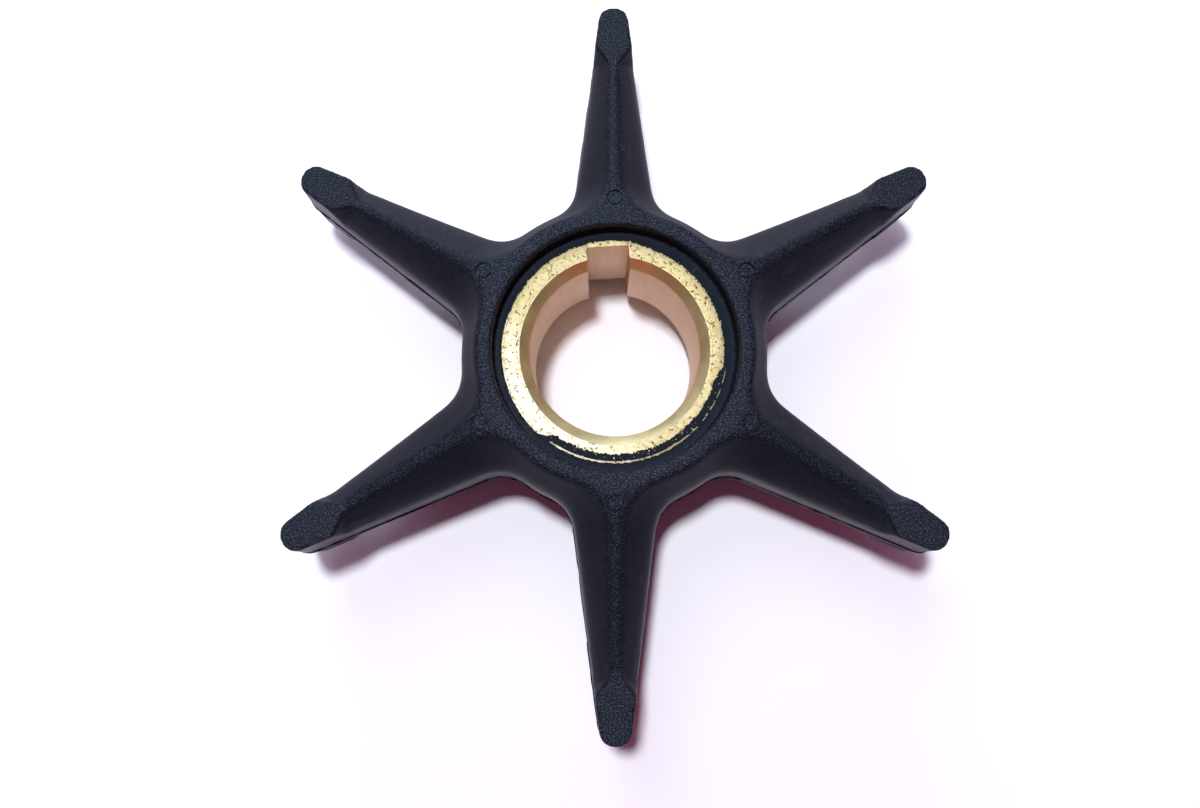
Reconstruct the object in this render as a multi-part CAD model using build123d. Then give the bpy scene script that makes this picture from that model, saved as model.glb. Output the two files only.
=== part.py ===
from build123d import *
import os
from math import cos, hypot, radians, sin, tan

# Flexible vane impeller of a small cooling-water pump: a six-armed rubber
# star moulded on a keyed brass bush. Millimetres, +Z along the shaft, origin
# on the shaft axis in the middle of the height, where the mould halves part.
# One arm points along +Y, and the lower half mirrors the upper.

# Brass bush, which the rubber is moulded on
bore_diameter = 16.0
bush_wall = 2.6
bore_chamfer = 0.92
key_width = 4.0
key_depth = 1.9              # keyway, measured out from the bore wall
key_turn = 3.8               # degrees that the keyway is turned past an arm

# Rubber hub
hub_height = 19.2            # face to face
hub_wall = 4.2               # rubber from the bush to the hub's outside, at the parting plane
recess_depth = 2.35          # both hub faces down to the ends of the bush
recess_ledge = 0.8           # rubber ring round the bush at the floor of a recess
face_width = 2.2             # hub face, from the recess to where it falls into a crown
face_width_in_gap = 1.5      # hub face, from the recess to its edge between two arms
hub_slope_height = 4.6       # leaning part of the hub's outside, below its face

# Rubber arms
arm_count = 6
tip_radius = 35.2            # shaft axis to the end of an arm
tip_thickness = 2.85         # arm, measured at the tip radius
root_thickness = 8.2         # arm, measured at the hub's outside
root_fillet = 3.8            # plan radius where an arm grows out of the hub
tip_flat = 0.1               # straight part of a tip between its two round corners
arm_height = 12.0            # over the flat pads at the tips
rim_softness = 1.5           # height below and above a rim over which a side turns
draft = 1.0                  # degrees that upright walls lean in, away from the parting plane

# Crowns and pads: the relief leans both sides of an arm in to a narrow crown
crown_width = 0.8            # crown, where it runs into the pad
fall_blend = 9.0             # radius that softens both ends of the crown's fall
pad_length = 6.2             # pad, from its inner point to the tip
pad_point_length = 2.0       # pad, from its inner point to where it is as wide as the arm
pad_slope_height = 2.25      # leaning part of an arm's side, below the point of its pad
pad_ramp = 0.5               # run of the pad's inner wall for each mm of its height

# Round marks that the mould's pins leave at the roots, on the upper side
pin_mark_diameter = 1.35
pin_mark_inset = 0.6         # centre of a mark, in from the hub's outside
pin_mark_depth = 0.15

# Values that follow
bore_radius = bore_diameter / 2.0
bush_radius = bore_radius + bush_wall
recess_radius = bush_radius + recess_ledge
face_radius = recess_radius + face_width
face_radius_in_gap = recess_radius + face_width_in_gap
hub_radius = bush_radius + hub_wall
pin_mark_radius = hub_radius - pin_mark_inset
pad_radius = tip_radius - pad_length
tip_corner = (tip_thickness - tip_flat) / 2.0
hub_top = hub_height / 2.0
bush_top = hub_top - recess_depth
arm_top = arm_height / 2.0
rim_at_hub = hub_top - hub_slope_height
rim_at_pad = arm_top - pad_slope_height
rim_rise = (rim_at_hub - rim_at_pad) / (pad_radius - hub_radius)
arm_taper = (root_thickness - tip_thickness) / 2.0 / (tip_radius - hub_radius)
pitch = 360.0 / arm_count
half_pitch = pitch / 2.0
overrun = 2.0                # how far a cutting body runs past the rubber
turning_bands = 4            # flat bands that stand for the soft turn at a rim
first_arm = 90.0             # direction of the first arm, in degrees from +X


def arm_half_width(radius):
    """Half the thickness of an arm at its parting plane."""
    return tip_thickness / 2.0 + arm_taper * (tip_radius - radius)


def draft_run(height):
    """How far an upright wall has leaned in at a height."""
    return height * tan(radians(draft))


def rim_top(radius):
    """Height of the rim where the upright side of an arm turns into its slope."""
    return rim_at_pad + rim_rise * (pad_radius - radius)


# Sideways lean for each mm of height: of an arm's slope, and of the hub between arms
arm_lean = (arm_half_width(pad_radius) - draft_run(arm_top) - crown_width / 2.0) / (
    pad_slope_height)
hub_lean = (hub_radius - draft_run(hub_top) - face_radius_in_gap) / hub_slope_height


def past_rim(height, radius):
    """Height past the rim that counts for the lean, eased in from below the rim."""
    over = height - rim_top(radius)
    if over <= -rim_softness:
        return 0.0
    if over >= rim_softness:
        return over
    return (over + rim_softness) ** 2 / (4.0 * rim_softness)


def side_at(radius, height):
    """Half the thickness of an arm at a height, carried on straight from hub to pad."""
    at_hub, at_pad = [arm_half_width(r) - draft_run(height) - arm_lean * past_rim(height, r)
                      for r in (hub_radius, pad_radius)]
    share = (radius - hub_radius) / (pad_radius - hub_radius)
    return at_hub + share * (at_pad - at_hub)


def beside_arm(along, across):
    """Point given along and beside an arm, in the frame of the gap next to it."""
    turn = radians(half_pitch)
    return (along * cos(turn) + across * sin(turn), along * sin(turn) - across * cos(turn))


def both_sides(points):
    """Outline from the points on one side of a gap's centre line."""
    return make_face(Polyline(*points, *[(x, -y) for x, y in reversed(points)], close=True))


def rounded_roots(plan, radius):
    """Gap outline with the two corners on the hub rounded."""
    return fillet(plan.vertices().sort_by(Axis.X)[:2], radius)


def gap_plan(height):
    """Space between the upright walls of two arms at one height, about the +X axis."""
    lean = draft_run(height)
    start = hub_radius / 2.0
    stop = (tip_radius + overrun) / cos(radians(half_pitch))
    wedge = both_sides([beside_arm(r, arm_half_width(r) - lean) for r in (start, stop)])
    return rounded_roots(wedge - Circle(hub_radius - lean), root_fillet + lean)


def relief_plan(height):
    """What the relief takes away round a gap at one height."""
    hub_inset = draft_run(height) + hub_lean * past_rim(height, hub_radius)

    # The pad's inner wall runs out from the crown and leans outward as it rises
    pad_half_width = arm_half_width(pad_radius + pad_point_length) - draft_run(arm_top)
    wall_slope = (pad_half_width - crown_width / 2.0) / pad_point_length
    wall_foot = pad_radius + pad_ramp * (height - arm_top)
    narrowing = side_at(0, height) - side_at(1, height)
    meet = wall_foot + (side_at(wall_foot, height) - crown_width / 2.0) / (
        wall_slope + narrowing)
    clear = pad_half_width + overrun
    wall_end = wall_foot + (clear - crown_width / 2.0) / wall_slope

    start = hub_radius / 2.0
    wedge = both_sides([
        beside_arm(start, side_at(start, height)),
        beside_arm(meet, side_at(meet, height)),
        beside_arm(wall_end, clear),
    ])
    return rounded_roots(wedge - Circle(hub_radius - hub_inset), root_fillet + hub_inset)


def upright_cutter():
    """Tool for the upper half of one gap, between the upright walls of two arms."""
    return loft([Pos(0, 0, z) * gap_plan(z) for z in (0, hub_top + overrun)], ruled=True)


def relief_cutter():
    """Tool for the relief above the rims of one gap."""
    lowest, highest = sorted((rim_at_pad, rim_at_hub))
    foot = lowest - rim_softness
    rise = highest + rim_softness - foot
    heights = [foot + rise * k / turning_bands for k in range(turning_bands + 1)]
    heights.append(hub_top + overrun)
    return loft([Pos(0, 0, z) * relief_plan(z) for z in heights], ruled=True)


def turned_blank():
    """Upper half of the star before the gaps are cut: hub, crown line and pads."""
    outline = make_face(Polyline(
        (bush_radius, 0),
        (bush_radius, bush_top),
        (recess_radius, bush_top),
        (recess_radius, hub_top),
        (face_radius, hub_top),
        (pad_radius, arm_top),
        (tip_radius - draft_run(arm_top), arm_top),
        (tip_radius, 0),
        close=True,
    ))
    by_radius = outline.vertices().group_by(Axis.X)
    fall_ends = by_radius[2] + by_radius[3]
    turned = revolve(Plane.YZ * fillet(fall_ends, fall_blend), Axis.Z)

    # The seam of the turned faces lies in a gap, clear of the tips that are rounded later
    return Rot(0, 0, half_pitch) * turned


def crown_height(radius):
    """Height of the crown line at a radius between its two blends."""
    fall = (hub_top - arm_top) / (pad_radius - face_radius)
    return min(hub_top, hub_top - fall * (radius - face_radius))


def around(body, start):
    """The same body once for each arm, from a direction in degrees."""
    return [Rot(0, 0, start + k * pitch) * body for k in range(arm_count)]


def rubber_vanes():
    """Star of six arms and a hub, one moulding."""
    half = turned_blank() - around(upright_cutter(), first_arm + half_pitch)

    # The tips are rounded before the relief is cut, while each corner is one plain edge
    climbing = [e for e in half.edges() if abs((e @ 1).Z - (e @ 0).Z) > arm_top / 2.0]
    climbing.sort(key=lambda e: hypot((e @ 0.5).X, (e @ 0.5).Y))
    half = fillet(climbing[-2 * arm_count:], tip_corner)
    half -= around(relief_cutter(), first_arm + half_pitch)
    star = half + mirror(half, about=Plane.XY)

    # Pin marks sink square to the shaft into the start of each crown
    floor = crown_height(pin_mark_radius) - pin_mark_depth
    mark = Pos(pin_mark_radius, 0, floor) * Cylinder(
        pin_mark_diameter / 2.0, hub_top, align=(Align.CENTER, Align.CENTER, Align.MIN))
    return star - around(mark, first_arm)


def keyed_bush():
    """Brass sleeve with a chamfered bore and a keyway through its whole length."""
    length = 2.0 * bush_top
    sleeve = Cylinder(bush_radius, length) - Cylinder(bore_radius, length)
    mouths = sleeve.edges().filter_by(GeomType.CIRCLE).sort_by(SortBy.RADIUS)[:2]
    keyway = Box(bore_radius + key_depth, key_width, 2.0 * length,
                 align=(Align.MIN, Align.CENTER, Align.CENTER))
    return chamfer(mouths, bore_chamfer) - Rot(0, 0, first_arm + key_turn) * keyway


nodes = {
    "rubber_vanes": rubber_vanes(),
    "keyed_bush": keyed_bush(),
}

os.makedirs("parts", exist_ok=True)
for name, solid in nodes.items():
    solid.label = name
    export_step(solid, f"parts/{name}.step")
    box = solid.bounding_box()
    print(name, "volume", round(solid.volume), "size", [round(v, 2) for v in tuple(box.size)])
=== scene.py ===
# %% [markdown]
# A flexible vane impeller lies on a white table. It is the wheel of a small
# cooling-water pump: six rubber arms and a hub, moulded in one shot on a brass
# bush with a keyway. The solids come from the frame, at their real size and in
# their real place. This lesson gives them the looks: soft moulded edges, the
# thin fin where the mould parted, the torn film of rubber on the brass, and
# the finish of both materials.

# %% Load the frame
from math import atan2, degrees, radians, tau
import bmesh
import bpy
from mathutils import Matrix, Vector, noise


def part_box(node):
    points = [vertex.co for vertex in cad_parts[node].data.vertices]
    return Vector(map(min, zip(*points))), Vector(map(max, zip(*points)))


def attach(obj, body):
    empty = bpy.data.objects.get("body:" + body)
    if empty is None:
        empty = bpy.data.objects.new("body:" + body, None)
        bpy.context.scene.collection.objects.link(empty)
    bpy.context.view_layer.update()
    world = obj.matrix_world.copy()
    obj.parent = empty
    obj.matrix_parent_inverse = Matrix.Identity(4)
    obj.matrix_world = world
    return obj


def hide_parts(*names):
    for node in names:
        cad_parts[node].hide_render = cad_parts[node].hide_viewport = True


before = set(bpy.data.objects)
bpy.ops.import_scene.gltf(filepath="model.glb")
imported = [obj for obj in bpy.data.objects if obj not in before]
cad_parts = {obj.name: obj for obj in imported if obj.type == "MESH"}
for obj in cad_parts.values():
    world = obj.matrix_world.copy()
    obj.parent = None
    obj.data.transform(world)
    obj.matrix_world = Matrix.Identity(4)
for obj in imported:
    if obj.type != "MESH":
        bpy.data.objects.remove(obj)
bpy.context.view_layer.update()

print("solids:", sorted(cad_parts))

# %% [markdown]
# Every size below is written in millimetres, as it would be on the drawing, and
# turned into metres by one factor. The ends of the bush, the top of the hub and
# the height of the table are read from the frame, so the new pieces seat on the
# solids that they replace.

# %% Sizes of the real object
mm = 0.001

bore_radius = 8.0 * mm
bush_radius = 10.6 * mm
recess_radius = 11.4 * mm
face_radius = 13.6 * mm         # where the hub's face falls into a crown
pad_radius = 29.0 * mm          # where a crown ends at the pad of its arm
crown_drop = 3.6 * mm           # fall of a crown between those two
bore_chamfer = 0.92 * mm
key_width = 4.0 * mm
key_reach = 9.9 * mm            # shaft axis to the bottom of the keyway
key_turn = radians(3.8)         # keyway, turned past the arm that points along +Y
first_arm = radians(90.0)
arm_count = 6

bush_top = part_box("keyed_bush")[1].z
star_low, star_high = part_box("rubber_vanes")
floor_height = star_low.z
print("bush ends at", round(bush_top / mm, 2), "mm, table at", round(floor_height / mm, 2), "mm")

# %% [markdown]
# The camera comes first, because every later choice is judged through it. It
# stands above the wheel and a little to the south, tilted so that the far bore
# wall shows. Its axis meets the picture above the picture's middle, as after a
# crop, and the lens shift stands for that.

# %% Camera at the viewing angle of the photograph
image_width = 1200.0
image_height = 808.0
focal_pixels = 1232.0
axis_row = 250.0                # row of the picture that the lens axis meets
sensor_width = 36.0

camera_data = bpy.data.cameras.new("camera")
camera_data.sensor_width = sensor_width
camera_data.lens = focal_pixels / image_width * sensor_width
camera_data.shift_y = (axis_row - image_height / 2.0) / image_width
camera_data.clip_start = 5.0 * mm
camera = bpy.data.objects.new("camera", camera_data)
camera.location = Vector((-1.8, -18.2, 121.3)) * mm
camera.rotation_euler = (radians(13.67), radians(-0.2), radians(-0.04))
bpy.context.scene.collection.objects.link(camera)
bpy.context.scene.camera = camera
print("lens", round(camera_data.lens, 2), "mm, shift", round(camera_data.shift_y, 4))

# %% [markdown]
# Blender's operators act on whatever is selected, so a small set of helpers
# keeps that tidy. They select a single object, open its mesh for editing with
# nothing or everything selected, and pick its points or faces by their place.

# %% Helpers for objects and edit mode
def select_only(piece):
    """Make one object the only selected and the active one."""
    bpy.ops.object.select_all(action="DESELECT")
    piece.select_set(True)
    bpy.context.view_layer.objects.active = piece


def open_mesh(piece, action="DESELECT"):
    """Enter edit mode with nothing selected, or with action SELECT, everything."""
    select_only(piece)
    bpy.ops.object.mode_set(mode="EDIT")
    bpy.ops.mesh.select_all(action=action)


def close_mesh():
    """Leave edit mode."""
    bpy.ops.object.mode_set(mode="OBJECT")


def pick(piece, kind, test):
    """Select the verts or faces of an open mesh whose place passes a test."""
    bm = bmesh.from_edit_mesh(piece.data)
    bm.select_mode = {"VERT"} if kind == "verts" else {"FACE"}
    count = 0
    for element in getattr(bm, kind):
        place = element.co if kind == "verts" else element.calc_center_median()
        if test(place):
            element.select_set(True)
            count += 1
    bm.select_flush_mode()
    bmesh.update_edit_mesh(piece.data)
    return count


# %% [markdown]
# Four more helpers deal with whole pieces. A modifier is applied at once, so
# that every later step works on real points, and what repeats is copied with a
# mesh of its own.

# %% Helpers for modifiers and meshes
def add_modifier(piece, kind, **settings):
    """Add a modifier, set it up and apply it at once."""
    modifier = piece.modifiers.new(kind.lower(), kind)
    for key, value in settings.items():
        setattr(modifier, key, value)
    select_only(piece)
    bpy.ops.object.modifier_apply(modifier=modifier.name)


def copied(source, name):
    """A new object with a mesh of its own."""
    piece = bpy.data.objects.new(name, source.data.copy())
    bpy.context.scene.collection.objects.link(piece)
    return piece


def smooth_shading(piece, angle):
    """Shade smooth across every edge that turns by less than an angle in degrees."""
    select_only(piece)
    bpy.ops.object.shade_smooth_by_angle(angle=radians(angle))


def triangles(piece):
    """Count the triangles of a mesh, whatever its faces."""
    return sum(len(face.vertices) - 2 for face in piece.data.polygons)


# %% [markdown]
# Rubber copies every edge of its mould, but no edge comes out sharp: they all
# end in a small soft radius. The solid's mesh has knife edges and long thin
# triangles, so a copy of it is rebuilt in even cells and relaxed a little. The
# cells are small enough to keep the crowns, which are under a millimetre wide.
# The arms are then relaxed much further above and below, because their crowns
# are soft ridges, while the recess, the pads and the parting line stay as they
# are.

# %% Star in even cells
cell = 0.25 * mm
triangle_gap = 0.0005 * mm      # corners closer than this are one corner

star = copied(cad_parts["rubber_vanes"], "rubber_star")
star.data.materials.clear()
open_mesh(star, "SELECT")
bpy.ops.mesh.remove_doubles(threshold=triangle_gap)
close_mesh()
add_modifier(star, "REMESH", mode="VOXEL", voxel_size=cell)
add_modifier(star, "SMOOTH", factor=0.5, iterations=3)
print("star in cells:", triangles(star), "triangles")

# %% Soft crowns
crown_start = 12.4 * mm         # the relaxing comes in from here outward
crown_start_fade = 1.4 * mm
crown_end = 27.6 * mm           # and has died out here
crown_end_fade = 1.2 * mm
crown_level = 2.5 * mm          # nothing nearer to the parting plane is relaxed
most_triangles = 185000

crowns = star.vertex_groups.new(name="crowns")
for vertex in star.data.vertices:
    radius = vertex.co.xy.length
    coming = (radius - crown_start) / crown_start_fade
    going = (crown_end - radius) / crown_end_fade
    share = min(coming, going, 1.0)
    if share > 0.0 and abs(vertex.co.z) > crown_level:
        crowns.add([vertex.index], share, "REPLACE")
add_modifier(star, "SMOOTH", factor=0.5, iterations=40, vertex_group="crowns")
if triangles(star) > most_triangles:
    add_modifier(star, "DECIMATE", ratio=most_triangles / triangles(star))
print("star:", triangles(star), "triangles")

# %% [markdown]
# Six round pins pushed the warm star out of its mould. Each left a small ring,
# sunk at the root of its arm, round a disc that stands nearly level with the
# rubber. One ring cutter is made from an open cylinder with a wall, leaned to the
# fall of the crown, copied round the shaft and taken out of the star.

# %% Ring cutter for one pin mark
pin_radius = 0.62 * mm
pin_groove = 0.20 * mm
pin_depth = 0.32 * mm
pin_place = 14.2 * mm           # shaft axis to the middle of a mark
pin_lean = 0.23                 # radians, close to the fall of the crown
cutter_height = 1.0 * mm
fall_slope = crown_drop / (pad_radius - face_radius)
pin_level = star_high.z - fall_slope * (pin_place - face_radius)

bpy.ops.object.select_all(action="DESELECT")
bpy.ops.mesh.primitive_cylinder_add(
    vertices=48, radius=pin_radius + pin_groove, depth=cutter_height, end_fill_type="NOTHING")
cutter = bpy.context.object
cutter.name = "pin_ring_cutter"
add_modifier(cutter, "SOLIDIFY", thickness=pin_groove, offset=-1.0)
cutter_middle = pin_level - pin_depth + cutter_height / 2.0
cutter.data.transform(Matrix.Rotation(pin_lean, 4, "Y"))
cutter.data.transform(Matrix.Translation((pin_place, 0.0, cutter_middle)))
print("marks lie", round(pin_level / mm, 2), "mm up, and are cut", round(pin_depth / mm, 2), "mm deep")

# %% Rings that the mould's pins left
rings = []
for number in range(arm_count):
    ring = copied(cutter, "pin_ring")
    ring.data.transform(Matrix.Rotation(first_arm + number * tau / arm_count, 4, "Z"))
    rings.append(ring)
bpy.data.objects.remove(cutter)
bpy.ops.object.select_all(action="DESELECT")
for ring in rings:
    ring.select_set(True)
bpy.context.view_layer.objects.active = rings[0]
bpy.ops.object.join()
joined_rings = bpy.context.object
add_modifier(star, "BOOLEAN", operation="DIFFERENCE", solver="EXACT", object=joined_rings)
bpy.data.objects.remove(joined_rings)
smooth_shading(star, 50.0)
print("star with rings:", triangles(star), "triangles")

# %% [markdown]
# The two halves of the mould met at half height. A little rubber crept between
# them and stayed on the star as a thin ragged fin all round its outline. A
# copy of the star is cut at that height, which leaves only its outline, and
# the cut round the bush is taken away again.

# %% Outline at the parting line
parting_level = 0.013 * mm      # clear of the mesh's own points at half height
hub_inside = 12.5 * mm          # what lies nearer to the shaft is the cut round the bush
outline_gap = 0.06 * mm         # points closer than this are one point

fin = copied(star, "parting_fin")
open_mesh(fin, "SELECT")
bpy.ops.mesh.bisect(plane_co=(0.0, 0.0, parting_level), plane_no=(0.0, 0.0, 1.0),
                    clear_inner=True, clear_outer=True)
bpy.ops.mesh.select_all(action="DESELECT")
pick(fin, "verts", lambda place: place.xy.length < hub_inside)
bpy.ops.mesh.delete(type="VERT")
bpy.ops.mesh.select_all(action="SELECT")
bpy.ops.mesh.remove_doubles(threshold=outline_gap)
bpy.ops.mesh.select_all(action="SELECT")
bpy.ops.mesh.subdivide(number_cuts=1)
close_mesh()
print("outline:", len(fin.data.vertices), "points")

# %% [markdown]
# The fin has to leave the star square to its outline. Only a walk from point
# to point says which way that is, because the points are stored in no order.
# The sign of the area that the walk goes round tells outward from inward.

# %% Directions out of the star
def remove_spurs(bm):
    """Take off points that lead nowhere, until every point has two neighbours."""
    spurs = [vertex for vertex in bm.verts if len(vertex.link_edges) < 2]
    while spurs:
        bmesh.ops.delete(bm, geom=spurs, context="VERTS")
        spurs = [vertex for vertex in bm.verts if len(vertex.link_edges) < 2]


def walked_loops(bm):
    """The vertices of each closed outline, in the order of a walk along it."""
    walked = set()
    loops = []
    for first in bm.verts:
        if first in walked:
            continue
        loop = []
        vertex = first
        while vertex:
            walked.add(vertex)
            loop.append(vertex)
            neighbours = [edge.other_vert(vertex) for edge in vertex.link_edges]
            vertex = next((other for other in neighbours if other not in walked), None)
        loops.append(loop)
    return loops


def outward_sides(loops):
    """For each vertex the level direction out of the star, square to the outline."""
    sides = {}
    for loop in loops:
        pairs = zip(loop, loop[1:] + loop[:1])
        area = sum(a.co.x * b.co.y - b.co.x * a.co.y for a, b in pairs)
        for number, vertex in enumerate(loop):
            along = loop[(number + 1) % len(loop)].co - loop[number - 1].co
            side = Vector((along.y, -along.x, 0.0)).normalized()
            sides[vertex] = side if area > 0 else -side
    return sides


# %% [markdown]
# With those directions known, the outline is extruded once and its new edge is
# pushed outward by an uneven width, from two waves of noise. The old edge goes
# a little way into the rubber, so that no gap shows between star and fin, and
# Solidify gives the flat ribbon its thickness.

# %% Fin along the parting line
fin_width = 0.10 * mm
fin_ragged = 0.07 * mm
fin_root = 0.20 * mm            # how far the fin reaches into the star
fin_thickness = 0.07 * mm
seam_gap = 0.001 * mm           # for closing seams after an extrusion
long_wave = 1.3                 # waves of the ragged edge for each millimetre
short_wave = 5.0


def widen_fin(piece):
    """Turn the outline into a flat ribbon that leaves the star by an uneven width."""
    bm = bmesh.new()
    bm.from_mesh(piece.data)
    remove_spurs(bm)
    sides = outward_sides(walked_loops(bm))
    side_at = {vertex.co.copy().freeze(): side for vertex, side in sides.items()}
    made = bmesh.ops.extrude_edge_only(bm, edges=bm.edges[:])
    for vertex in made["geom"]:
        if not isinstance(vertex, bmesh.types.BMVert):
            continue
        side = side_at[vertex.co.copy().freeze()]
        place = vertex.co / mm
        wave = noise.noise(place * long_wave) + 0.6 * noise.noise(place * short_wave)
        vertex.co += side * (fin_width + fin_ragged * wave)
    for vertex, side in sides.items():
        vertex.co -= side * fin_root
    bm.to_mesh(piece.data)
    bm.free()


widen_fin(fin)
add_modifier(fin, "SOLIDIFY", thickness=fin_thickness, offset=0.0)
open_mesh(fin, "SELECT")
bpy.ops.mesh.remove_doubles(threshold=seam_gap)
bpy.ops.mesh.normals_make_consistent(inside=False)
close_mesh()
smooth_shading(fin, 40.0)
print("fin:", triangles(fin), "triangles, box", [round(v / mm, 2) for v in fin.dimensions])

# %% [markdown]
# The bush is a turned brass sleeve with a chamfer at both mouths of its bore
# and a broached keyway. It is drawn as a lathe operator would work: a circle is
# extruded ring by ring along the section until it closes.

# %% Turned brass sleeve
def extrude_ring(old_radius, new_radius, height):
    """Extrude the selected ring of edges and bring it to a new radius."""
    factor = new_radius / old_radius
    bpy.ops.mesh.extrude_edges_move()
    bpy.ops.transform.resize(value=(factor, factor, 1.0), center_override=(0.0, 0.0, height))


def circle(name, radius, height, steps):
    """Add a level circle round the shaft and leave it open, with all of it selected."""
    bpy.ops.object.select_all(action="DESELECT")
    bpy.ops.mesh.primitive_circle_add(vertices=steps, radius=radius, location=(0.0, 0.0, height))
    piece = bpy.context.object
    piece.name = name
    bpy.ops.object.transform_apply(location=True, rotation=True, scale=True)
    open_mesh(piece, "SELECT")
    return piece


mouth_radius = bore_radius + bore_chamfer
wall_end = bush_top - bore_chamfer
section = [
    (bush_radius, -bush_top),
    (mouth_radius, -bush_top),
    (bore_radius, -wall_end),
    (bore_radius, wall_end),
    (mouth_radius, bush_top),
    (bush_radius, bush_top),
]
radius, height = section[0]
bush = circle("brass_bush", radius, height, 256)
for next_radius, next_height in section[1:] + section[:1]:
    extrude_ring(radius, next_radius, height)
    bpy.ops.transform.translate(value=(0.0, 0.0, next_height - height))
    radius, height = next_radius, next_height
bpy.ops.mesh.select_all(action="SELECT")
bpy.ops.mesh.remove_doubles(threshold=seam_gap)
bpy.ops.mesh.normals_make_consistent(inside=False)
close_mesh()
print("sleeve:", triangles(bush), "triangles, box", [round(v / mm, 2) for v in bush.dimensions])

# %% [markdown]
# A box as wide as the key and longer than the bush cuts the keyway. It starts
# at the shaft axis, and is turned a little past an arm as on the real wheel.
# Every sharp edge is then broken by a narrow bevel, which catches the light.

# %% Keyway and broken edges
broken_edge = 0.07 * mm

bpy.ops.object.select_all(action="DESELECT")
bpy.ops.mesh.primitive_cube_add(size=1.0, location=(key_reach / 2.0, 0.0, 0.0))
key_box = bpy.context.object
key_box.scale = (key_reach, key_width, 4.0 * bush_top)
bpy.ops.object.transform_apply(location=True, rotation=True, scale=True)
key_box.data.transform(Matrix.Rotation(first_arm + key_turn, 4, "Z"))
add_modifier(bush, "BOOLEAN", operation="DIFFERENCE", solver="EXACT", object=key_box)
bpy.data.objects.remove(key_box)
add_modifier(bush, "BEVEL", width=broken_edge, segments=2, limit_method="ANGLE",
             angle_limit=radians(30.0))
smooth_shading(bush, 35.0)
print("bush:", triangles(bush), "triangles, box", [round(v / mm, 2) for v in bush.dimensions])

# %% [markdown]
# Rubber also crept over both ends of the bush, and was torn off by hand. What
# stayed is a thin smooth film with a ragged inner edge: wide below and to the
# lower right, narrower on the right, and almost gone on the left. The film is a
# fine polar grid, and a rule for each direction and radius says which of its
# cells are still there. The rule comes first.

# %% Where the film still is
film_start = 10.60              # radius in mm of its inner edge, where nothing else is said
wide_sectors = [                # start, end and soft ends in degrees, and mm of further reach
    (-12.0, 76.0, 6.0, 0.40),
    (76.0, 162.0, 6.0, 0.16),
    (232.0, 348.0, 5.0, 0.92),
]
edge_waves = [                  # waves for each millimetre, and their reach in mm
    (1.1, 0.08),
    (3.7, 0.09),
    (8.3, 0.10),
]


def smooth_step(value, low, high):
    """0 below low, 1 above high, and a soft rise between."""
    share = min(max((value - low) / (high - low), 0.0), 1.0)
    return share * share * (3.0 - 2.0 * share)


def in_sector(angle, start, end, soft):
    """How far a direction lies in a sector, all in degrees, with soft ends."""
    middle = (start + end) / 2.0
    half = (end - start) / 2.0
    off = abs((angle - middle + 180.0) % 360.0 - 180.0)
    return 1.0 - smooth_step(off, half - soft, half + soft)


def film_edge(angle, point):
    """Radius in mm where the film ends, for one direction in degrees."""
    edge = film_start
    for start, end, soft, reach in wide_sectors:
        edge -= reach * in_sector(angle, start, end, soft)
    for waves, reach in edge_waves:
        edge += reach * noise.noise(point * waves)
    return edge


print("film reaches in by up to", max(reach for start, end, soft, reach in wide_sectors), "mm")

# %% Lines and chips that were torn out of the film
bare_line = 10.44               # radius in mm of a thin line of bare brass in the wide part
chip_limit = 10.35              # radius in mm inside which the film is also chipped


def keeps_film(centre):
    """True where a cell of the film was not torn off."""
    angle = degrees(atan2(centre.y, centre.x))
    point = centre / mm
    radius = point.xy.length
    if radius < film_edge(angle, point):
        return False
    bare = in_sector(angle, 236.0, 352.0, 4.0)
    fading = in_sector(angle, 308.0, 356.0, 6.0)
    line = bare_line + 0.03 * noise.noise(point * 2.0)
    width = 0.075 * bare + 0.05 * noise.noise(point * 3.1) - 0.05 * fading
    if bare > 0.3 and abs(radius - line) < width:
        return False
    chip = noise.noise(point * 6.5)
    return not (radius < chip_limit and chip > 0.60)


# %% [markdown]
# The grid is made like the sleeve, from a circle that is extruded inward ring
# by ring. The cells that the rule gives up are deleted, the torn edge is
# relaxed so that no steps of the grid show, and Solidify makes the sheet into a
# film with a thickness.

# %% Torn film of rubber on the brass ends
film_inner = 9.5 * mm           # the grid's inner edge, inside the widest film
film_fine = 10.66 * mm          # outer edge of the fine rings
film_outer = recess_radius - 0.02 * mm
film_rise = 0.05 * mm           # middle of the film above the end of the bush
film_rings = 20
film_steps = 1080


def torn_film(name, side):
    """The film on one end of the bush; side is +1 for the upper end."""
    level = side * (bush_top + film_rise)
    film = circle(name, film_outer, level, film_steps)
    radius = film_outer
    for number in range(film_rings + 1):
        next_radius = film_fine + (film_inner - film_fine) * number / film_rings
        extrude_ring(radius, next_radius, level)
        radius = next_radius
    bpy.ops.mesh.select_all(action="DESELECT")
    torn = pick(film, "faces", lambda place: place.xy.length < film_fine and not keeps_film(place))
    bpy.ops.mesh.delete(type="FACE")
    bpy.ops.mesh.select_all(action="SELECT")
    bpy.ops.mesh.delete_loose(use_verts=True, use_edges=True, use_faces=False)
    bpy.ops.mesh.select_all(action="SELECT")
    bpy.ops.mesh.normals_make_consistent(inside=False)
    close_mesh()
    add_modifier(film, "SMOOTH", factor=0.5, iterations=2, use_z=False)
    add_modifier(film, "SOLIDIFY", thickness=2.0 * film_rise, offset=0.0)
    open_mesh(film, "SELECT")
    bpy.ops.mesh.normals_make_consistent(inside=False)
    close_mesh()
    smooth_shading(film, 50.0)
    print(name, "torn cells", torn, "triangles", triangles(film))
    return film


upper_film = torn_film("upper_film", 1.0)
lower_film = torn_film("lower_film", -1.0)

# %% [markdown]
# Materials are written as sums. The small class below wraps one output of a
# node, and its operators add Math nodes, so that a mask reads like a formula.

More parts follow.
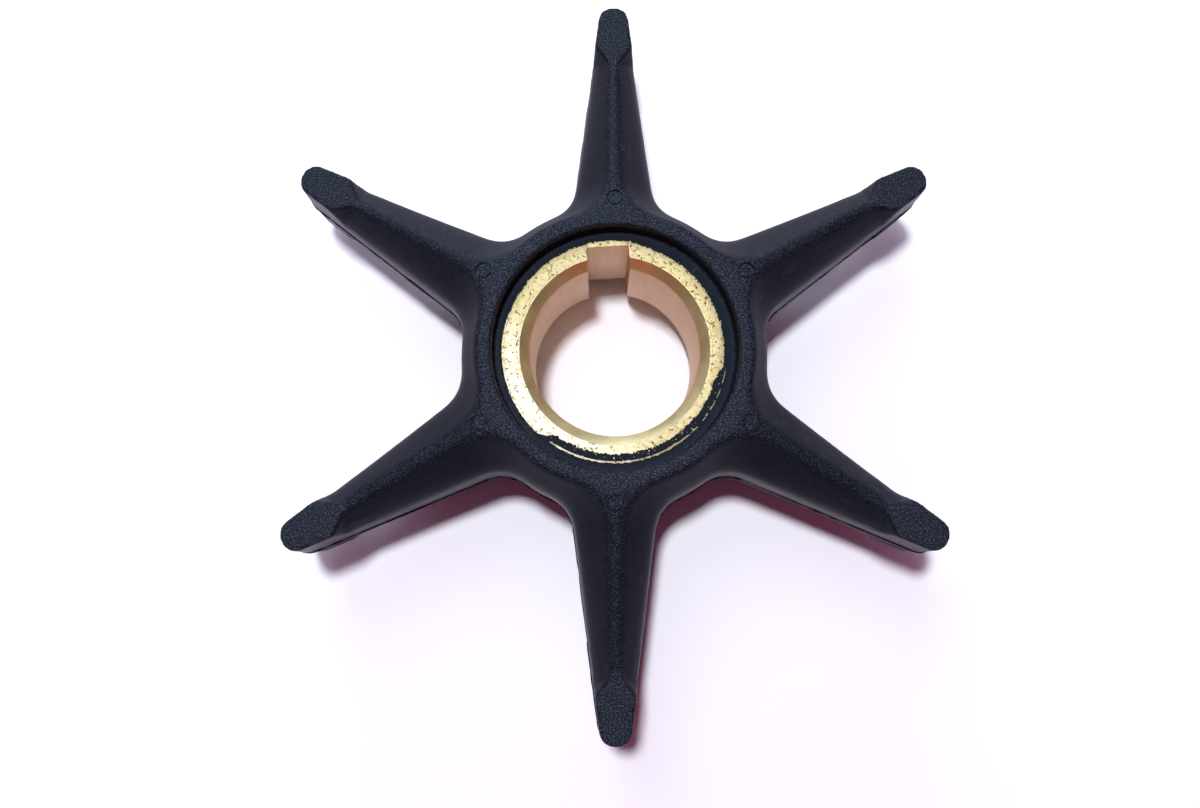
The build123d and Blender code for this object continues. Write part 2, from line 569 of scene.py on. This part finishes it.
# %% Writing shader maths as Python
class Signal:
    """One number that varies over a surface."""

    def __init__(self, nodes, socket):
        self.nodes = nodes
        self.socket = socket

    def _math(self, operation, first, second=None, clamp=False):
        """Add one Math node and return its result as a new signal."""
        node = self.nodes.node("ShaderNodeMath", {"operation": operation, "use_clamp": clamp})
        for slot, value in enumerate((first, second)):
            if value is not None:
                self.nodes.feed(node.inputs[slot], value)
        return Signal(self.nodes, node.outputs[0])

    def __add__(self, other):
        return self._math("ADD", self, other)

    def __radd__(self, other):
        return self._math("ADD", other, self)

    def __sub__(self, other):
        return self._math("SUBTRACT", self, other)

    def __rsub__(self, other):
        return self._math("SUBTRACT", other, self)

    def __mul__(self, other):
        return self._math("MULTIPLY", self, other)

    def __rmul__(self, other):
        return self._math("MULTIPLY", other, self)

    def __truediv__(self, other):
        return self._math("DIVIDE", self, other)

    def __pow__(self, other):
        return self._math("POWER", self, other)

    def __abs__(self):
        return self._math("ABSOLUTE", self)

    def clamped(self):
        """The same signal, held between 0 and 1."""
        return self._math("ADD", self, 0.0, clamp=True)

    def between(self, low, high):
        """A ramp from 0 at low to 1 at high, held outside."""
        return ((self - low) / (high - low)).clamped()


# %% [markdown]
# Every other node comes from one method, which sets its settings first and
# then feeds its sockets. Colours are mixed by a method of their own, because a
# Math node would turn them grey. Both work in any node tree, so that the room
# round the table can use them as well as the materials.

# %% Adding nodes by name
class NodeTree:
    """A node tree of Blender, with its nodes made by name."""

    def __init__(self, owner):
        owner.use_nodes = True
        self.owner = owner
        self.tree = owner.node_tree

    def feed(self, socket, value):
        """Link a signal or socket to an input, or set a plain value on it."""
        if isinstance(value, Signal):
            value = value.socket
        if isinstance(value, bpy.types.NodeSocket):
            self.tree.links.new(value, socket)
        else:
            socket.default_value = value

    def node(self, kind, settings=None, **inputs):
        """Add a node: settings first, then the values or links of its sockets."""
        node = self.tree.nodes.new(kind)
        for key, value in (settings or {}).items():
            setattr(node, key, value)
        for key, value in inputs.items():
            self.feed(node.inputs[key.replace("_", " ")], value)
        return node

    def mix(self, share, first, second):
        """A colour that goes from the first to the second as share goes from 0 to 1."""
        node = self.node("ShaderNodeMix", {"data_type": "RGBA"})
        self.feed(node.inputs[0], share)
        # The colours of a Mix node are its inputs 6 and 7, and its output 2
        for slot, colour in ((6, first), (7, second)):
            self.feed(node.inputs[slot], (*colour, 1.0) if isinstance(colour, tuple) else colour)
        return node.outputs[2]


# %% [markdown]
# A finish is the node tree of a material. It knows where a point lies on the
# object, and its patterns are given a number of features for each millimetre,
# so that they keep their real scale.

# %% Patterns of a finish
class Finish(NodeTree):
    """A material, with its surface shader ready and patterns in real sizes."""

    def __init__(self, name):
        super().__init__(bpy.data.materials.new(name))
        self.surface = self.tree.nodes["Principled BSDF"]
        self.place = self.node("ShaderNodeTexCoord").outputs["Object"]

    def split(self, vector):
        """The three parts of a vector, as signals."""
        node = self.node("ShaderNodeSeparateXYZ", Vector=vector)
        return [Signal(self, socket) for socket in node.outputs]

    def from_shaft(self):
        """Distance to the shaft axis, in metres."""
        x, y, z = self.split(self.place)
        return (x * x + y * y) ** 0.5

    def grain(self, scale, detail=4.0, rough=0.6, stretch=(1.0, 1.0, 1.0)):
        """Noise with a number of features for each millimetre."""
        spread = self.node("ShaderNodeMapping", Vector=self.place,
                           Scale=[scale / mm * share for share in stretch])
        node = self.node("ShaderNodeTexNoise", Vector=spread.outputs[0], Scale=1.0,
                         Detail=detail, Roughness=rough)
        return Signal(self, node.outputs[0])

    def cells(self, scale):
        """Round cells, as on leathery rubber."""
        spread = self.node("ShaderNodeMapping", Vector=self.place, Scale=[scale / mm] * 3)
        node = self.node("ShaderNodeTexVoronoi", Vector=spread.outputs[0], Scale=1.0)
        return Signal(self, node.outputs["Distance"])

    def relief(self, height, depth, under=None):
        """A bump whose height signal of 0 to 1 is worth a depth in metres."""
        node = self.node("ShaderNodeBump", Height=height, Distance=depth, Strength=1.0)
        if under is not None:
            self.feed(node.inputs["Normal"], under)
        return node.outputs[0]

    def paint(self, **inputs):
        """Feed sockets of the surface shader by their names."""
        for key, value in inputs.items():
            self.feed(self.surface.inputs[key.replace("_", " ")], value)


# %% [markdown]
# Moulded rubber is almost black, with a cold blue cast. The mould was blasted,
# so level faces and crowns carry a fine leathery grain, and the steep sides,
# which slid along the steel, came out smoother and shine a little more.
# Handling left pale dust in the grain and on the sharpest edges, and a few pale
# specks. The film and the fin are the same rubber with hardly any grain. How
# much a face gets depends on which way it looks, so its normal is read first.

# %% Level and upright faces of the rubber
rubber_dark = (0.0035, 0.0050, 0.0085)
rubber_light = (0.0065, 0.0090, 0.0140)
dust_colour = (0.088, 0.098, 0.138)
speck_colour = (0.26, 0.26, 0.29)
cold_shine = (0.50, 0.70, 1.0, 1.0)


def face_shares(finish):
    """How far a face counts as level, and how far as an upright wall, each 0 to 1."""
    normal = finish.node("ShaderNodeTexCoord").outputs["Normal"]
    upward = abs(finish.split(normal)[2])
    return upward.between(0.50, 0.99), 1.0 - upward.between(0.12, 0.35)


# %% Moulded rubber
def rubber_finish(name, grain_depth, dust, dullness):
    """Rubber whose grain and dust can be turned down for smooth places."""
    finish = Finish(name)
    level, wall = face_shares(finish)
    coarse = finish.grain(0.12, 3.0)
    leather = finish.cells(5.0)
    pores = finish.grain(7.0, 2.0, 0.75)
    edge = Signal(finish, finish.node("ShaderNodeNewGeometry").outputs["Pointiness"])
    worn = edge.between(0.52, 0.62)

    body = finish.mix(coarse, rubber_dark, rubber_light)
    radius = finish.from_shaft()
    past_hub = radius.between(14.5 * mm, 16.0 * mm)
    at_pad = radius.between(27.6 * mm, 28.6 * mm)
    on_crown = past_hub * (1.0 - at_pad)
    dusty = pores.between(0.50, 0.64) * (0.14 + 0.86 * level) * (1.0 - 0.35 * on_crown)
    dusty = (dusty * dust + worn * 0.12).clamped()
    colour = finish.mix(dusty, body, dust_colour)
    specks = finish.grain(4.0, 1.0, 0.4).between(0.72, 0.76) * 0.07
    colour = finish.mix(specks, colour, speck_colour)

    fine = finish.relief(pores * (0.28 + 0.72 * level), 0.06 * mm * grain_depth)
    leathery = finish.relief(leather * (0.10 + 0.90 * level), 0.035 * mm * grain_depth, fine)
    finish.paint(
        Base_Color=colour,
        Roughness=(dullness + coarse * 0.10 - level * 0.05 - wall * 0.20).clamped(),
        Normal=leathery,
        Specular_IOR_Level=0.16,
        Specular_Tint=cold_shine,
    )
    print(name, "nodes:", len(finish.tree.nodes))
    return finish.owner


grained_rubber = rubber_finish("grained_rubber", grain_depth=1.0, dust=0.70, dullness=0.42)
smooth_rubber = rubber_finish("smooth_rubber", grain_depth=0.15, dust=0.05, dullness=0.62)

# %% [markdown]
# The brass was turned and then left as it came: pale and pitted on its
# ends, gold in the chamfer with a red tint on its far side, and pale copper on
# the bore wall and in the keyway. A painted highlight whitens the ends toward
# the lower left, where the lamps' reflection falls. Each zone is found from the
# distance to the shaft axis and from the place of the keyway, so one material
# covers the whole bush.

# %% Zones of the bush
face_dark = (0.35, 0.31, 0.16)
face_light = (0.54, 0.50, 0.30)
# Painted highlight: the pale colour laid on the lower left of the brass ends, where the lamps'
# reflection falls
highlight_pale = (0.92, 0.90, 0.78)
tarnish = (0.30, 0.25, 0.09)
pit_brown = (0.20, 0.14, 0.04)
chamfer_dark = (0.64, 0.60, 0.33)
chamfer_light = (0.90, 0.86, 0.54)
chamfer_red = (0.95, 0.42, 0.20)
bore_dark = (0.95, 0.68, 0.46)
bore_light = (1.0, 0.84, 0.60)
key_side = -0.6 * mm            # middle of the keyway in X, where it leaves the bore
key_half = key_width / 2.0
key_soft = 0.05 * mm


def brass_zones(radius, x, y, z):
    """How far a point counts as end face, and how far as bore or keyway, each 0 to 1."""
    on_face = radius.between(mouth_radius - 0.03 * mm, mouth_radius + 0.03 * mm)
    on_bore = 1.0 - radius.between(bore_radius + 0.02 * mm, bore_radius + 0.10 * mm)
    beside_key = abs(x - key_side).between(key_half - key_soft, key_half + key_soft)
    in_key = y.between(7.6 * mm, 7.9 * mm) * (1.0 - beside_key)
    at_end = abs(z).between(bush_top - 0.12 * mm, bush_top - 0.06 * mm)
    return on_face, (on_bore + in_key * (1.0 - at_end)).clamped()


zone_ends = (bore_radius, mouth_radius, bush_radius)
print("bore, chamfer and face end at", [round(radius / mm, 2) for radius in zone_ends], "mm")

# %% [markdown]
# Each zone then gets its own colour from the patterns, and three reliefs lie
# over each other: the rings of the lathe, the pits, and the marks of the
# broach, which run along the bore.

# %% Turned brass
def brass_finish(name):
    """Brass in three zones: end face, chamfer and bore."""
    finish = Finish(name)
    x, y, z = finish.split(finish.place)
    radius = finish.from_shaft()
    on_face, wall = brass_zones(radius, x, y, z)
    cloud = finish.grain(0.25, 4.0)
    pits = finish.grain(3.4, 3.0, 0.65).between(0.60, 0.70)
    streaks = finish.grain(3.0, 3.0, 0.6, stretch=(1.0, 1.0, 0.05))
    mottle = finish.grain(2.4, 5.0, 0.75)

    face = finish.mix(cloud, face_dark, face_light)
    # Painted highlight: the ends are whitened toward the lower left, where the lamps' reflection falls
    painted_highlight = ((x + y) / (-15.0 * mm)).between(0.35, 1.0)
    face = finish.mix(painted_highlight * 0.7, face, highlight_pale)
    face = finish.mix(mottle.between(0.48, 0.66) * 0.75, face, tarnish)
    face = finish.mix(pits * 0.75, face, pit_brown)
    chamfer = finish.mix(cloud.between(0.35, 0.65), chamfer_dark, chamfer_light)
    reddish = y.between(5.5 * mm, 8.5 * mm)
    chamfer = finish.mix(reddish * 0.8, chamfer, chamfer_red)
    bore = finish.mix(streaks, bore_dark, bore_light)
    colour = finish.mix(on_face, chamfer, face)
    colour = finish.mix(wall, colour, bore)

    rings = finish.node("ShaderNodeTexNoise", {"noise_dimensions": "1D"},
                        W=radius / mm * 14.0, Scale=1.0, Detail=2.0)
    turned = finish.relief(Signal(finish, rings.outputs[0]), 0.012 * mm)
    pitted = finish.relief(1.0 - pits * on_face, 0.03 * mm, turned)
    broached = finish.relief(streaks, 0.02 * mm, pitted)
    finish.paint(
        Base_Color=colour,
        Metallic=1.0,
        Roughness=(0.50 + wall * 0.02 + pits * 0.2 + cloud * 0.10).clamped(),
        Normal=broached,
    )
    print(name, "nodes:", len(finish.tree.nodes))
    return finish.owner


turned_brass = brass_finish("turned_brass")

# %% [markdown]
# Now each piece gets its finish and is hung on the body that carries it. The
# star and the bush replace their solids, which are hidden, and the fin and the
# films ride with them.

# %% Dress the part
def dress(piece, material, node=None):
    """Give a piece its finish and its body, and hide the solid that it replaces, where it has one."""
    piece.data.materials.clear()
    piece.data.materials.append(material)
    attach(piece, "root")
    if node:
        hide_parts(node)
    print(piece.name, "box in mm", [round(v / mm, 2) for v in piece.dimensions])


dress(star, grained_rubber, "rubber_vanes")
dress(fin, smooth_rubber)
dress(upper_film, smooth_rubber)
dress(lower_film, smooth_rubber)
dress(bush, turned_brass, "keyed_bush")

# %% [markdown]
# The table is a plain white sheet, and a stage rather than a part of the
# object. The camera alone sees the whiter of its two colours, so that the lit
# sheet comes out white and keeps its shadows. The light that it throws back on
# the object comes from a calmer pale colour.

# %% White table
floor_size = 560.0 * mm
table_pale = (0.64, 0.63, 0.74)
table_white = (1.10, 1.13, 1.24)


def table_finish():
    """A diffuse sheet that is whiter for the camera than for the light it throws back."""
    finish = Finish("white_table")
    rays = finish.node("ShaderNodeLightPath")
    colour = finish.mix(rays.outputs["Is Camera Ray"], table_pale, table_white)
    sheet = finish.node("ShaderNodeBsdfDiffuse", Color=colour)
    finish.feed(finish.tree.nodes["Material Output"].inputs["Surface"], sheet.outputs[0])
    return finish.owner


bpy.ops.object.select_all(action="DESELECT")
bpy.ops.mesh.primitive_grid_add(x_subdivisions=8, y_subdivisions=8, size=floor_size)
table = bpy.context.object
table.name = "table"
table.data.transform(Matrix.Translation((0.0, 0.0, floor_height)))
table.data.materials.append(table_finish())
print("table:", [round(v / mm) for v in table.dimensions], "mm")

# %% [markdown]
# One small soft window stands nearly overhead, a little toward the upper left,
# and makes the short shadows. A skylight fills from the top of the picture, and
# a wide ceiling adds a faint pink from above. A bright wall low in the north
# grazes the sides that look that way, and brings out the grain. No lamp
# shows to the camera.

# %% Lamps
def area_light(name, place, size, power, colour):
    """A round soft light that looks at the middle of the wheel; sizes in mm, power in watts."""
    data = bpy.data.lights.new(name, "AREA")
    data.shape = "DISK"
    data.size = size * mm
    data.energy = power
    data.color = colour
    lamp = bpy.data.objects.new(name, data)
    lamp.location = Vector(place) * mm
    lamp.rotation_euler = (-Vector(place)).to_track_quat("-Z", "Y").to_euler()
    lamp.visible_camera = False
    bpy.context.scene.collection.objects.link(lamp)
    print("lamp", name, power, "W")


area_light("window", (-42.0, 66.0, 525.0), 50.0, 2.1, (0.98, 0.98, 1.0))
area_light("skylight", (-130.0, 270.0, 440.0), 300.0, 0.55, (0.84, 0.93, 1.0))
area_light("ceiling", (-60.0, 100.0, 700.0), 1200.0, 0.5, (1.0, 0.72, 0.86))
area_light("north_wall", (-80.0, 520.0, 110.0), 400.0, 1.9, (0.74, 0.88, 1.0))

# %% [markdown]
# The room is dim and plum coloured, and its tint helps to fill the shadows.
# The camera sees white in its place, wherever it looks past the table.

# %% Room round the table
room_plum = (1.0, 0.07, 0.30, 1.0)
room_strength = 0.10

world = bpy.data.worlds.new("room")
bpy.context.scene.world = world
room = NodeTree(world)
dim_room = room.tree.nodes["Background"]
room.feed(dim_room.inputs["Color"], room_plum)
room.feed(dim_room.inputs["Strength"], room_strength)
white = room.node("ShaderNodeBackground", Color=(1.0, 1.0, 1.0, 1.0))
seen = room.node("ShaderNodeLightPath").outputs["Is Camera Ray"]
backdrop = room.node("ShaderNodeMixShader")
for slot, value in enumerate((seen, dim_room.outputs[0], white.outputs[0])):
    room.feed(backdrop.inputs[slot], value)
room.feed(room.tree.nodes["World Output"].inputs["Surface"], backdrop.outputs[0])
bpy.context.scene.view_settings.view_transform = "Standard"
print("room strength", room_strength)
